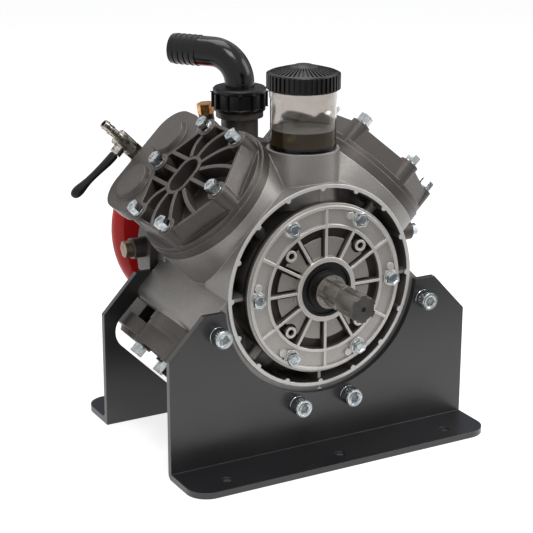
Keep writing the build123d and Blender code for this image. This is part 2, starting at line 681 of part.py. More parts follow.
ELBOW_Z0 = SUCTION_TOP_Z + NUT_H
ELBOW_Z1 = ELBOW_Z0 + ELBOW_RISE + ELBOW_BEND_R
ELBOW_DIR = (cos(radians(ELBOW_TURN)), sin(radians(ELBOW_TURN)), 0)
ELBOW_PLANE = Plane(
    origin=(0, PORT_Y, ELBOW_Z0),
    x_dir=ELBOW_DIR,
    z_dir=(sin(radians(ELBOW_TURN)), -cos(radians(ELBOW_TURN)), 0),
)
with BuildPart() as suction_elbow:
    with BuildLine(ELBOW_PLANE) as path:
        Line((0, 0), (0, ELBOW_RISE))
        RadiusArc((0, ELBOW_RISE), (ELBOW_BEND_R, ELBOW_RISE + ELBOW_BEND_R), ELBOW_BEND_R)
    with BuildSketch(Plane(origin=(0, PORT_Y, ELBOW_Z0))):
        Circle(ELBOW_R)
    sweep(path=path.wires()[0])
    tail = Plane(
        origin=(ELBOW_BEND_R * ELBOW_DIR[0], PORT_Y + ELBOW_BEND_R * ELBOW_DIR[1], ELBOW_Z1),
        x_dir=(0, 0, 1),
        z_dir=ELBOW_DIR,
    )
    with BuildSketch(tail):
        Circle(TAIL_R)
    extrude(amount=TAIL_LEN)
    for index in range(TAIL_BARBS):
        pitch = TAIL_LEN / (TAIL_BARBS + 1)
        with BuildSketch(tail.offset(TAIL_LEN - pitch * index)):
            Circle(TAIL_R)
        with BuildSketch(tail.offset(TAIL_LEN - pitch * (index + 0.8))):
            Circle(TAIL_BARB_R)
        loft()
    with BuildSketch(tail.offset(TAIL_LEN)):
        Circle(TAIL_R - 4)
    extrude(amount=-TAIL_LEN, mode=Mode.SUBTRACT)
suction_elbow.part.label = "suction_elbow"

with BuildPart() as oil_cup_glass:
    with BuildSketch(Plane(origin=(0, CUP_Y, CUP_BASE_Z))):
        Circle(GLASS_R)
    extrude(amount=GLASS_TOP_Z - CUP_BASE_Z)
    with BuildSketch(Plane(origin=(0, CUP_Y, CUP_BASE_Z + GLASS_WALL))):
        Circle(GLASS_R - GLASS_WALL)
    extrude(amount=GLASS_TOP_Z - CUP_BASE_Z, mode=Mode.SUBTRACT)
oil_cup_glass.part.label = "oil_cup_glass"

with BuildPart() as oil:
    with BuildSketch(Plane(origin=(0, CUP_Y, CUP_BASE_Z + GLASS_WALL))):
        Circle(GLASS_R - GLASS_WALL)
    extrude(amount=OIL_TOP_Z - CUP_BASE_Z - GLASS_WALL)
oil.part.label = "oil"

with BuildPart() as oil_cup_cap:
    with BuildSketch(Plane(origin=(0, CUP_Y, GLASS_TOP_Z))):
        Circle(CAP_R)
        with PolarLocations(CAP_R, CAP_FLUTES):
            Circle(CAP_FLUTE_R, mode=Mode.SUBTRACT)
    extrude(amount=CAP_SIDE_H)
    with BuildSketch(Plane(origin=(0, CUP_Y, GLASS_TOP_Z + CAP_SIDE_H))):
        Circle(CAP_R - 2)
    extrude(amount=CAP_TOP_Z - GLASS_TOP_Z - CAP_SIDE_H, taper=35)
oil_cup_cap.part.label = "oil_cup_cap"

TAP_BASE = out_plane(TAP_TURN, OUTLET_Y)
TAP_H1 = TAP_PIPE_LEN + TAP_NUT_H
TAP_H2 = TAP_H1 + TAP_BODY_H
TAP_STEM_H = TAP_H1 + TAP_BODY_H / 2
STEM_DIR = (-sin(radians(TAP_TURN)), 0, cos(radians(TAP_TURN)))
STEM_ROOT = (
    TAP_STEM_H * cos(radians(TAP_TURN)),
    OUTLET_Y,
    AXIS_H + TAP_STEM_H * sin(radians(TAP_TURN)),
)
STEM_PLANE = Plane(origin=STEM_ROOT, x_dir=(0, 1, 0), z_dir=STEM_DIR)
with BuildPart() as tap_body:
    with BuildSketch(TAP_BASE.offset(TAP_PIPE_LEN)):
        RegularPolygon(radius=TAP_NUT_AF / 2, side_count=6, major_radius=False)
    extrude(amount=TAP_NUT_H)
    with BuildSketch(TAP_BASE.offset(TAP_H1)):
        Circle(TAP_BODY_R)
    extrude(amount=TAP_BODY_H)
    with BuildSketch(TAP_BASE.offset(TAP_H2)):
        Circle(TAP_TAIL_R)
    extrude(amount=TAP_TIP_H - TAP_H2)
    for place in (0.45, 0.8):
        with BuildSketch(TAP_BASE.offset(TAP_H2 + (TAP_TIP_H - TAP_H2) * place)):
            Circle(TAP_TAIL_BARB_R)
        extrude(amount=3)
    with BuildSketch(TAP_BASE.offset(TAP_TIP_H)):
        Circle(TAP_TAIL_R - 2)
    extrude(amount=-16, mode=Mode.SUBTRACT)
    # stem and spacer that carry the lever
    with BuildSketch(STEM_PLANE):
        Circle(TAP_SPACER_R)
    extrude(amount=TAP_SPACER_B)
    with BuildSketch(STEM_PLANE):
        Circle(TAP_STEM_R)
    extrude(amount=TAP_STEM_LEN)
tap_body.part.label = "tap_body"

# the lever's own plane: X along the stem, Y to the rear
LEVER_PLANE = Plane(origin=STEM_ROOT, x_dir=STEM_DIR, z_dir=(cos(radians(TAP_TURN)), 0, sin(radians(TAP_TURN))))
LEAN_SIGN = 1 if LEVER_PLANE.y_dir.Y > 0 else -1
with BuildPart() as tap_lever:
    with BuildSketch(LEVER_PLANE.offset(-TAP_LEVER_T / 2)):
        with BuildLine():
            Polyline(
                (TAP_SPACER_B + 0.3, 0),
                (TAP_SPACER_B + 18, 0),
                (TAP_LEVER_END_B - TAP_BULB_L / 2, LEAN_SIGN * TAP_LEVER_LEAN),
            )
        trace(line_width=TAP_LEVER_W)
        with Locations((TAP_LEVER_END_B - TAP_BULB_L / 2, LEAN_SIGN * TAP_LEVER_LEAN)):
            Ellipse(TAP_BULB_L / 2, TAP_BULB_W / 2)
    extrude(amount=TAP_LEVER_T)
    with BuildSketch(STEM_PLANE.offset(TAP_SPACER_B)):
        Circle(TAP_STEM_R + RUN_GAP)
    extrude(amount=TAP_STEM_LEN - TAP_SPACER_B + 0.3, mode=Mode.SUBTRACT)
tap_lever.part.label = "tap_lever"

parts = [
    build_rail(-1, "front_rail"),
    build_rail(1, "rear_rail"),
    build_rail_bolts(-1, "front_rail_bolts"),
    build_rail_bolts(1, "rear_rail_bolts"),
    crankcase,
    bearing_cover,
    cover_bolts,
    shaft_seal,
    drive_shaft,
    rear_manifold,
    side_plug,
    top_plug,
    right_port,
    right_port_bolt,
    pulsation_damper,
    suction_nut,
    suction_elbow,
    oil_cup_glass,
    oil,
    oil_cup_cap,
    tap_body,
    tap_lever,
]
for key, turn in HEAD_ANGLES.items():
    parts.append(build_head("head_" + key, turn))
    parts.append(build_head_bolts("head_bolts_" + key, turn))

os.makedirs("parts", exist_ok=True)
for piece in parts:
    export_step(piece.part, "parts/" + piece.part.label + ".step")
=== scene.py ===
"""Looks of the diaphragm pump on two steel rails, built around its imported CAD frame."""

from math import atan2, cos, pi, radians, sin

import bmesh
import bpy
from mathutils import Matrix, Vector


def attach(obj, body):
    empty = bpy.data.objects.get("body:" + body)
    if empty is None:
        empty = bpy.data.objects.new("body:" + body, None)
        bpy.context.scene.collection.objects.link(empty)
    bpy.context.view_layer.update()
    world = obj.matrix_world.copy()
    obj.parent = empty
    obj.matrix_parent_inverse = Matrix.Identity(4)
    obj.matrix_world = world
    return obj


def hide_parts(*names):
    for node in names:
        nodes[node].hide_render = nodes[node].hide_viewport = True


bl_info = {
    "name": "Diaphragm pump looks",
    "version": (1, 0, 0),
    "blender": (4, 5, 0),
    "location": "View3D > Sidebar > Pump",
    "description": "Finishes and detail for a four-headed diaphragm pump on rails",
    "category": "Object",
}

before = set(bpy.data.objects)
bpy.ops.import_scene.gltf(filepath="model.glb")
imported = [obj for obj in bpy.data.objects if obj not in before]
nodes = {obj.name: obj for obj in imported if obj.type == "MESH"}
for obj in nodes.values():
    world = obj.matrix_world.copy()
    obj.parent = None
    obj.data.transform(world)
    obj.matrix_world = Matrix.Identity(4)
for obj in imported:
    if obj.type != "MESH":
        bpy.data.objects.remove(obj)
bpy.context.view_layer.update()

# sizes in metres and turns in degrees, fitted to the CAD nodes
AXIS_Z = 0.218
HEAD_TURNS = {"upper_right": 45, "upper_left": 135, "lower_left": 225, "lower_right": 315}
HEAD_TOP = 0.198
HEAD_BOLT_RING = 0.080
HEAD_BOLT_AF = 0.0158
HEAD_BOLT_H = 0.0132
BOLTS_PER_RING = 6
# each bolt of a ring is turned on from the last, so that their flats don't line up
HEAD_BOLT_SPIN = 17
COVER_BOLT_SPIN = 23
COVER_FACE_Y = -0.1082
COVER_BOLT_RING = 0.0978
COVER_BOLT_AF = 0.016
COVER_BOLT_H = 0.0075
COVER_POCKET = 0.0115
RAIL_OUT_Y = 0.1032
SHAFT_TIP_Y = -0.1974
RING_FRONT_Y = -0.098
RING_FLOOR_Y = -0.045
RING_INNER_R = 0.1285
# depths at which the painted shade inside the bell ring starts and is full
SHADE_START_Y = -0.0965
SHADE_FULL_Y = -0.064
SCREW_R = 0.0116
SCREW_H = 0.0190
SOCKET_R = 0.0068
SOCKET_Z = 0.0115
KNURLS = 24
KNURL_H = 0.0004
LUG_RING = 0.1555
LUG_TURN = 14
CUP_Y = -0.0472
CUP_BASE_Z = 0.389
GLASS_R = 0.0426
GLASS_WALL = 0.003
GLASS_TOP_Z = 0.463
OIL_TOP_Z = 0.414
CAP_R = 0.0467
CAP_BAND_H = 0.0215
CAP_TOP_Z = 0.495
CAP_RIBS = 44
CAP_RIB_H = 0.0021
CAP_SLOT_H = 0.0022
PORT_Y = 0.1228
NUT_Z = 0.404
NUT_R = 0.036
NUT_H = 0.032
NUT_LUGS = 12
NUT_LUG_H = 0.0042
ELBOW_R = 0.020
ELBOW_RISE = 0.004
ELBOW_BEND_R = 0.040
ELBOW_TURN = 126
TAIL_LEN = 0.060
TAIL_R = 0.0202
BARB_R = 0.0211
BARBS = 5
BARB_PITCH = 0.0082
TAIL_BORE_R = 0.0155
TAP_TURN = 135
OUTLET_Y = 0.176
TAP_STEM_H = 0.2075
# stations of the tap lever: along the stem, lean to the rear, half width, half thickness
LEVER_STATIONS = (
    (0.0204, 0.0000, 0.0066, 0.0054), (0.0212, 0.0000, 0.0074, 0.0062), (0.0300, 0.0002, 0.0074, 0.0062),
    (0.0400, 0.0022, 0.0068, 0.0058), (0.0520, 0.0056, 0.0062, 0.0050), (0.0680, 0.0098, 0.0060, 0.0048),
    (0.0780, 0.0122, 0.0070, 0.0062), (0.0870, 0.0140, 0.0080, 0.0080), (0.0940, 0.0150, 0.0074, 0.0074),
    (0.0980, 0.0155, 0.0052, 0.0050), (0.0997, 0.0157, 0.0024, 0.0022),
)
# stage
FLOOR_HALF = 6.0
FLOOR_Z = -0.0006
FLOOR_TONE = (0.5, 0.5, 0.5, 1)
FLOOR_GLOW = 0.8
GROUND_TONE = (0.13, 0.13, 0.13, 1)
SKY_TONE = (0.85, 0.86, 0.88, 1)
SKY_STRENGTH = 0.4
LIT_POINT = (0, 0, 0.25)
# lamps: name, place, size, power in the view settings
LAMPS = (
    ("key", (-0.35, -1.0, 2.2), 0.8, "key"),
    ("fill", (1.8, -0.9, 1.4), 1.2, "fill"),
    ("top", (0.1, 0.5, 2.2), 1.2, "fill"),
)
# dark cards seen only in reflections: name, place, tilt and turn, half sizes, tone
CARDS = (
    ("stage_card_back", (1.6, 2.0, 0.75), (90, -35), (1.7, 0.75), (0.05, 0.08, 0.15, 1)),
    ("stage_card_right", (1.0, -1.45, 0.001), (0, 0), (0.9, 0.95), (0.12, 0.12, 0.13, 1)),
    ("stage_card_left", (-0.85, -1.6, 0.001), (0, 0), (0.95, 0.85), (0.06, 0.06, 0.06, 1)),
)
# camera fitted to the photograph
CAMERA_AT = Vector((-0.98989, -1.74605, 0.86014))
CAMERA_YAW = 28.901
CAMERA_PITCH = 17.758
CAMERA_ROLL = 0.119


# Shader helpers


class Finish:
    """One material under construction, with object coordinates ready to use."""

    def __init__(self, name):
        self.material = bpy.data.materials.new(name)
        self.material.use_nodes = True
        self.tree = self.material.node_tree
        self.nodes = self.tree.nodes
        self.shader = self.nodes["Principled BSDF"]
        self.coords = self.nodes.new("ShaderNodeTexCoord").outputs["Object"]

    def link(self, out, socket):
        self.tree.links.new(out, socket)

    def noise(self, scale, detail=4.0, rough=0.55, warp=0.0, vector=None):
        node = self.nodes.new("ShaderNodeTexNoise")
        node.inputs["Scale"].default_value = scale
        node.inputs["Detail"].default_value = detail
        node.inputs["Roughness"].default_value = rough
        node.inputs["Distortion"].default_value = warp
        self.link(vector or self.coords, node.inputs["Vector"])
        return node.outputs["Fac"]

    def stretched(self, scale):
        node = self.nodes.new("ShaderNodeMapping")
        node.inputs["Scale"].default_value = scale
        self.link(self.coords, node.inputs["Vector"])
        return node.outputs["Vector"]

    def ramp(self, fac, stops):
        node = self.nodes.new("ShaderNodeValToRGB")
        node.color_ramp.elements[0].position = stops[0][0]
        node.color_ramp.elements[0].color = (*stops[0][1], 1)
        node.color_ramp.elements[1].position = stops[-1][0]
        node.color_ramp.elements[1].color = (*stops[-1][1], 1)
        for place, colour in stops[1:-1]:
            node.color_ramp.elements.new(place).color = (*colour, 1)
        self.link(fac, node.inputs["Fac"])
        return node.outputs["Color"]

    def spread(self, fac, low, high, start=0.3, end=0.7):
        node = self.nodes.new("ShaderNodeMapRange")
        node.inputs["From Min"].default_value = start
        node.inputs["From Max"].default_value = end
        node.inputs["To Min"].default_value = low
        node.inputs["To Max"].default_value = high
        self.link(fac, node.inputs["Value"])
        return node.outputs["Result"]

    def mix(self, fac, a, b):
        node = self.nodes.new("ShaderNodeMix")
        node.data_type = "RGBA"
        self.link(fac, node.inputs[0])
        for socket, value in ((node.inputs[6], a), (node.inputs[7], b)):
            if isinstance(value, tuple):
                socket.default_value = (*value, 1)
            else:
                self.link(value, socket)
        return node.outputs[2]

    def masked(self, mask, noise):
        """Breaks a mask up with a noise, so that edge wear and painted edge highlight aren't an even line."""
        return self.product(mask, self.spread(noise, 0.35, 0.9))

    def tinted(self, colour, tint):
        """A colour multiplied by another."""
        node = self.nodes.new("ShaderNodeMix")
        node.data_type = "RGBA"
        node.blend_type = "MULTIPLY"
        node.inputs[0].default_value = 1.0
        self.link(colour, node.inputs[6])
        self.link(tint, node.inputs[7])
        return node.outputs[2]

    def from_axis(self):
        """Distance from the shaft axis."""
        node = self.nodes.new("ShaderNodeMapping")
        node.inputs["Location"].default_value = (0, 0, -AXIS_Z)
        node.inputs["Scale"].default_value = (1, 0, 1)
        self.link(self.coords, node.inputs["Vector"])
        length = self.nodes.new("ShaderNodeVectorMath")
        length.operation = "LENGTH"
        self.link(node.outputs["Vector"], length.inputs[0])
        return length.outputs["Value"]

    def along(self, axis):
        """One object coordinate: X, Y or Z."""
        node = self.nodes.new("ShaderNodeSeparateXYZ")
        self.link(self.coords, node.inputs[0])
        return node.outputs[axis]

    def product(self, a, b):
        node = self.nodes.new("ShaderNodeMath")
        node.operation = "MULTIPLY"
        self.link(a, node.inputs[0])
        self.link(b, node.inputs[1])
        return node.outputs[0]

    def bump(self, height, distance, strength=1.0, under=None):
        node = self.nodes.new("ShaderNodeBump")
        node.inputs["Distance"].default_value = distance
        node.inputs["Strength"].default_value = strength
        self.link(height, node.inputs["Height"])
        if under is not None:
            self.link(under, node.inputs["Normal"])
        self.link(node.outputs["Normal"], self.shader.inputs["Normal"])
        return node.outputs["Normal"]

    def soft_edges(self, radius):
        """Rounded edges for the light, and a mask that is one along them."""
        node = self.nodes.new("ShaderNodeBevel")
        node.samples = 6
        node.inputs["Radius"].default_value = radius
        flat = self.nodes.new("ShaderNodeNewGeometry")
        dot = self.nodes.new("ShaderNodeVectorMath")
        dot.operation = "DOT_PRODUCT"
        self.link(node.outputs["Normal"], dot.inputs[0])
        self.link(flat.outputs["Normal"], dot.inputs[1])
        return node.outputs["Normal"], self.spread(dot.outputs["Value"], 1.0, 0.0, 0.72, 0.97)

    def set(self, **values):
        for key, value in values.items():
            self.shader.inputs[key.replace("_", " ")].default_value = value

    def colour(self, out):
        self.link(out, self.shader.inputs["Base Color"])

    def rough(self, out):
        self.link(out, self.shader.inputs["Roughness"])


def shade(colour, factor):
    return tuple(min(1.0, c * factor) for c in colour)


def cast_metal(name, colour, metallic, rough, grain, mottle, edge_wear_and_highlight, painted_shade=None):
    """Cast metal: soft mottling, a fine grain, small pits, edges painted lighter as wear and as a painted
    highlight, and painted shade in hollows where a function for it is given.
    """
    f = Finish(name)
    edge_normal, edge = f.soft_edges(0.0016)
    broad = f.noise(14, 5, 0.6)
    fine = f.noise(420, 3, 0.6)
    pits = f.noise(1500, 2, 0.5)
    tone = f.ramp(broad, [(0.3, shade(colour, 1 - mottle)), (0.7, shade(colour, 1 + mottle))])
    grained = f.mix(f.spread(fine, 0.0, 0.35), tone, shade(colour, 0.72))
    # edges painted lighter, partly as wear and partly as a painted edge highlight
    edge_wear_and_lit = f.mix(f.masked(edge, fine), grained, edge_wear_and_highlight)
    # painted shade in hollows, where a function for it is given
    f.colour(painted_shade(f, edge_wear_and_lit) if painted_shade else edge_wear_and_lit)
    f.rough(f.spread(fine, rough - 0.07, rough + 0.1))
    f.set(Metallic=metallic)
    soft = f.bump(fine, grain, 0.6, edge_normal)
    f.bump(pits, grain * 0.4, 0.4, soft)
    return f.material


def bell_painted_shade(f, colour):
    """Painted shade inside the bell ring, deepening with depth and broken up by paler patches of painted
    highlight, and a machined lip in front of it.
    """
    y = f.along("Y")
    behind_lip = f.spread(y, 0.0, 1.0, SHADE_START_Y, SHADE_FULL_Y)
    before_floor = f.spread(y, 1.0, 0.0, RING_FLOOR_Y + 0.0004, RING_FLOOR_Y + 0.0006)
    in_ring = f.spread(f.from_axis(), 1.0, 0.0, RING_INNER_R + 0.0006, RING_INNER_R + 0.0012)
    inside = f.product(f.product(behind_lip, before_floor), in_ring)
    # painted shade, with paler patches as painted highlight
    shade_patches = f.ramp(f.noise(16, 2, 0.5, 1.2), [(0.42, (0.045, 0.042, 0.039)), (0.60, (0.21, 0.20, 0.185))])
    dark = f.mix(inside, colour, shade_patches)
    lip = f.spread(y, 1.0, 0.0, RING_FRONT_Y + 0.0003, RING_FRONT_Y + 0.0012)
    return f.mix(lip, dark, (0.62, 0.61, 0.59))


def cover_painted_shade(f, colour):
    """Light and shade painted by depth below the cover's face: the face paler, the pads a little darker and
    the deep strips much darker.
    """
    depth = f.spread(f.along("Y"), 0.0, 1.0, COVER_FACE_Y, COVER_FACE_Y + COVER_POCKET)
    # painted shade that deepens below the face, with the face itself painted paler
    tone = f.ramp(depth, [
        (0.0, (1.25, 1.25, 1.24)), (0.16, (1.0, 1.0, 1.0)), (0.38, (0.72, 0.71, 0.70)),
        (0.56, (0.50, 0.485, 0.47)), (0.95, (0.09, 0.08, 0.07)),
    ])
    return f.tinted(colour, tone)


def powder_coat(name, colour, rough):
    """Satin powder coat with a faint orange peel, painted paler along its edges, partly as wear and partly as
    a painted edge highlight.
    """
    f = Finish(name)
    edge_normal, edge = f.soft_edges(0.0012)
    peel = f.noise(700, 2, 0.5)
    broad = f.noise(9, 4, 0.6)
    tone = f.ramp(broad, [(0.35, shade(colour, 0.9)), (0.65, shade(colour, 1.15))])
    # edges painted much paler: wear, and a painted highlight along them
    f.colour(f.mix(f.masked(edge, broad), tone, shade(colour, 11.0)))
    f.rough(f.spread(broad, rough - 0.04, rough + 0.06))
    f.set(Specular_IOR_Level=0.75)
    f.bump(peel, 0.00005, 0.4, edge_normal)
    return f.material


def plated(name, colour, rough, tint):
    """Zinc or nickel plate with light handling marks, and clouds that darken towards a tint: partly the
    plate's own tint, partly painted dark reflection.
    """
    f = Finish(name)
    cloud = f.noise(150, 4, 0.6, 0.6)
    marks = f.noise(900, 3, 0.6)
    # dark clouds: partly the plate's own tint, partly painted dark reflection
    f.colour(f.ramp(cloud, [(0.38, colour), (0.5, shade(colour, 0.72)), (0.62, tint)]))
    f.rough(f.spread(marks, rough - 0.06, rough + 0.1))
    f.set(Metallic=1.0)
    f.bump(marks, 0.00004, 0.4)
    return f.material


def turned_steel(name, colour, rough):
    """Oiled machined steel with fine turning rings, a dark oil film and an end face coloured darker."""
    f = Finish(name)
    film = f.noise(35, 4, 0.55, 0.2)
    rings = f.noise(90, 3, 0.6, 0.0, f.stretched((0.4, 22.0, 0.4)))
    tone = f.ramp(film, [(0.3, shade(colour, 0.72)), (0.7, shade(colour, 1.2))])
    end = f.spread(f.along("Y"), 1.0, 0.0, SHAFT_TIP_Y + 0.0002, SHAFT_TIP_Y + 0.0006)
    f.colour(f.mix(end, tone, shade(colour, 0.45)))
    f.rough(f.spread(film, rough - 0.05, rough + 0.08))
    f.set(Metallic=1.0)
    f.bump(rings, 0.00004, 0.4)
    return f.material


def moulded(name, colour, rough, texture):
    """Moulded plastic or rubber with a faint skin texture and a dull skin."""
    f = Finish(name)
    skin = f.noise(600, 3, 0.5)
    broad = f.noise(30, 3, 0.5)
    f.colour(f.ramp(broad, [(0.35, shade(colour, 0.85)), (0.65, shade(colour, 1.2))]))
    f.rough(f.spread(skin, rough - 0.05, rough + 0.08))
    f.set(Specular_IOR_Level=0.3)
    f.bump(skin, texture, 0.5)
    return f.material


def gloss_paint(name, colour):
    """Gloss paint with broad waviness under a thin clear coat."""
    f = Finish(name)
    wave = f.noise(45, 3, 0.5)
    broad = f.noise(8, 4, 0.6)
    f.colour(f.ramp(broad, [(0.35, shade(colour, 0.85)), (0.65, shade(colour, 1.15))]))
    f.rough(f.spread(wave, 0.3, 0.42))
    f.set(Coat_Weight=0.15, Coat_Roughness=0.1, Specular_IOR_Level=0.3)
    f.bump(wave, 0.0004, 0.3)
    return f.material


def clear_glass(name, colour):
    """Moulded clear plastic or glass, a little wavy."""
    f = Finish(name)
    wave = f.noise(50, 2, 0.5)
    f.colour(f.ramp(wave, [(0.3, shade(colour, 0.96)), (0.7, colour)]))
    f.rough(f.spread(wave, 0.08, 0.11))
    f.set(Transmission_Weight=1.0, IOR=1.33)
    f.bump(wave, 0.0002, 0.3)
    return f.material


def dark_oil(name, colour):
    """Dark oil with swirls, and gold patches painted as glints of light through the oil."""
    f = Finish(name)
    swirl = f.noise(30, 4, 0.6, 1.0)
    # gold patches: painted glints of light through the oil
    painted_glint = (0.12, 0.08, 0.008)
    f.colour(f.ramp(swirl, [(0.3, shade(colour, 0.6)), (0.60, shade(colour, 1.2)), (0.72, painted_glint)]))
    f.rough(f.spread(swirl, 0.05, 0.12))
    f.set(Specular_IOR_Level=0.08)
    return f.material


# Modelling helpers


def as_mesh(name, bm):
    """A new mesh from a bmesh, which is freed."""
    mesh = bpy.data.meshes.new(name)
    bm.to_mesh(mesh)
    bm.free()
    return mesh


def new_verts(made):
    """The vertices among what an extrusion made."""
    return [v for v in made["geom"] if isinstance(v, bmesh.types.BMVert)]


def extruded(bm, faces):
    """Extrudes a region, deletes the faces it started from and gives the new vertices."""
    verts = new_verts(bmesh.ops.extrude_face_region(bm, geom=faces))
    bmesh.ops.delete(bm, geom=faces, context="FACES_ONLY")
    return verts


def lathe(bm, profile, steps):
    """Spins a line of (radius, height) points round Z into a closed skin."""
    line = [bm.verts.new((radius, 0, height)) for radius, height in profile]
    edges = [bm.edges.new(pair) for pair in zip(line, line[1:])]
    bmesh.ops.spin(bm, geom=line + edges, cent=(0, 0, 0), axis=(0, 0, 1), dvec=(0, 0, 0),
                   angle=2 * pi, steps=steps, use_merge=True, use_duplicate=False)
    bmesh.ops.remove_doubles(bm, verts=bm.verts, dist=1e-6)
    bmesh.ops.recalc_face_normals(bm, faces=bm.faces)


def side_faces(bm, low, high, reach):
    """Faces whose middle lies between two heights and further out than reach."""
    found = []
    for face in bm.faces:
        middle = face.calc_center_median()
        if low < middle.z < high and middle.xy.length > reach:
            found.append(face)
    return found


def every_other(faces, count, share=0.5):
    """Faces that fall in the first share of each of count equal turns round Z."""
    picked = []
    for face in faces:
        middle = face.calc_center_median()
        turn = (atan2(middle.y, middle.x) / (2 * pi) % 1) * count
        if turn % 1 < share:
            picked.append(face)
    return picked


def raise_faces(bm, faces, distance):
    """Lifts a region of faces straight out from the Z axis."""
    for vert in extruded(bm, faces):
        vert.co += Vector((vert.co.x, vert.co.y, 0)).normalized() * distance


def hex_bolt(af, height, washer, dish):
    """A hexagon bolt head on its washer face, its bottom at Z 0, as a mesh."""
    bm = bmesh.new()
    reach = af / 2
    rim_z, seat_z, foot_z = 0.0012, 0.0020, 0.0018
    lathe(bm, [(0, 0), (reach + washer, 0), (reach + washer, rim_z), (reach * 0.98, seat_z), (0, seat_z)], 32)
    made = bmesh.ops.create_circle(bm, cap_ends=True, segments=6, radius=reach / cos(pi / 6))
    base = [face for vert in made["verts"] for face in vert.link_faces][0]
    bmesh.ops.translate(bm, verts=made["verts"], vec=(0, 0, foot_z))
    made = bmesh.ops.extrude_face_region(bm, geom=[base])
    top = [f for f in made["geom"] if isinstance(f, bmesh.types.BMFace)][0]
    bmesh.ops.translate(bm, verts=new_verts(made), vec=(0, 0, height - foot_z))
    bmesh.ops.bevel(bm, geom=list(top.edges), offset=af * 0.06, affect="EDGES", segments=2,
                    profile=0.5, material=-1)
    tops = [f for f in bm.faces if f.normal.z > 0.95 and f.calc_center_median().z > height * 0.9]
    bmesh.ops.inset_region(bm, faces=tops, thickness=af * 0.14, depth=0)
    inner = [f for f in tops if f.is_valid]
    bmesh.ops.inset_region(bm, faces=inner, thickness=af * 0.05, depth=-dish)
    bmesh.ops.recalc_face_normals(bm, faces=bm.faces)
    return as_mesh("bolt_master", bm)


def gather(mesh, places):
    """One bmesh with a copy of a mesh at each place."""
    bm = bmesh.new()
    for place in places:
        moved = mesh.copy()
        moved.transform(place)
        bm.from_mesh(moved)
        bpy.data.meshes.remove(moved)
    return bm


def head_frame(turn):
    """Head space to row frame: X rearward, Z outward from the shaft axis."""
    out = Vector((cos(radians(turn)), 0, sin(radians(turn))))
    side = out.cross(Vector((0, 1, 0)))
    return Matrix((
        (0, side.x, out.x, 0),
        (1, side.y, out.y, 0),
        (0, side.z, out.z, AXIS_Z),
        (0, 0, 0, 1),
    ))


def front_place(x, z, y, spin):
    """A place whose Z points to the front, out of the bearing cover."""
    at = Matrix.Translation((x, y, AXIS_Z + z))
    return at @ Matrix.Rotation(pi / 2, 4, "X") @ Matrix.Rotation(spin, 4, "Z")


def finish_piece(name, bm, material, stands_for, sharp=35, body="pump"):
    """Turns a bmesh into a shown piece that stands for CAD nodes."""
    mesh = as_mesh(name, bm)
    for polygon in mesh.polygons:
        polygon.use_smooth = True
    mesh.set_sharp_from_angle(angle=radians(sharp))
    mesh.materials.append(bpy.data.materials[material])
    obj = bpy.data.objects.new(name, mesh)
    bpy.context.scene.collection.objects.link(obj)
    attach(obj, body)
    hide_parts(*stands_for)
    return obj


# Settings


class PumpColours(bpy.types.PropertyGroup):
    """Colours of the pump's finishes."""

    casting: bpy.props.FloatVectorProperty(
        name="Crankcase casting", description="Raw aluminium of the crankcase", subtype="COLOR",
        size=3, default=(0.285, 0.270, 0.257), min=0, max=1)
    cover: bpy.props.FloatVectorProperty(
        name="Bearing cover", description="Lighter aluminium of the bearing cover", subtype="COLOR",
        size=3, default=(0.46, 0.44, 0.42), min=0, max=1)
    head: bpy.props.FloatVectorProperty(
        name="Heads", description="Dark coated casting of heads and manifold", subtype="COLOR",
        size=3, default=(0.080, 0.0705, 0.064), min=0, max=1)
    rail: bpy.props.FloatVectorProperty(
        name="Rails", description="Black powder coat of the rails", subtype="COLOR",
        size=3, default=(0.0068, 0.0062, 0.0078), min=0, max=1)
    zinc: bpy.props.FloatVectorProperty(
        name="Zinc", description="Plated bolts", subtype="COLOR",
        size=3, default=(0.52, 0.55, 0.55), min=0, max=1)
    red: bpy.props.FloatVectorProperty(
        name="Damper red", description="Gloss red of the damper", subtype="COLOR",
        size=3, default=(0.80, 0.010, 0.012), min=0, max=1)
    plastic: bpy.props.FloatVectorProperty(
        name="Black plastic", description="Elbow, nut and cap", subtype="COLOR",
        size=3, default=(0.004, 0.004, 0.0044), min=0, max=1)
    bronze: bpy.props.FloatVectorProperty(
        name="Bronze", description="Hexagon plugs", subtype="COLOR",
        size=3, default=(0.85, 0.45, 0.17), min=0, max=1)


class PumpView(bpy.types.PropertyGroup):
    """Camera and light of the stage."""

    lens: bpy.props.FloatProperty(
        name="Lens", description="Focal length in millimetres, on a 36 mm sensor", default=108.09, min=10)
    key: bpy.props.FloatProperty(
        name="Key light", description="Power of the large soft light", default=19.0, min=0, unit="POWER")
    fill: bpy.props.FloatProperty(
        name="Fill light", description="Power of the side light", default=21.0, min=0, unit="POWER")


# Pieces


def dress(node, material):
    """Gives every material slot of a CAD node one finish."""
    obj = nodes[node]
    if not obj.material_slots:
        obj.data.materials.append(material)
    for place in obj.material_slots:
        place.material = material


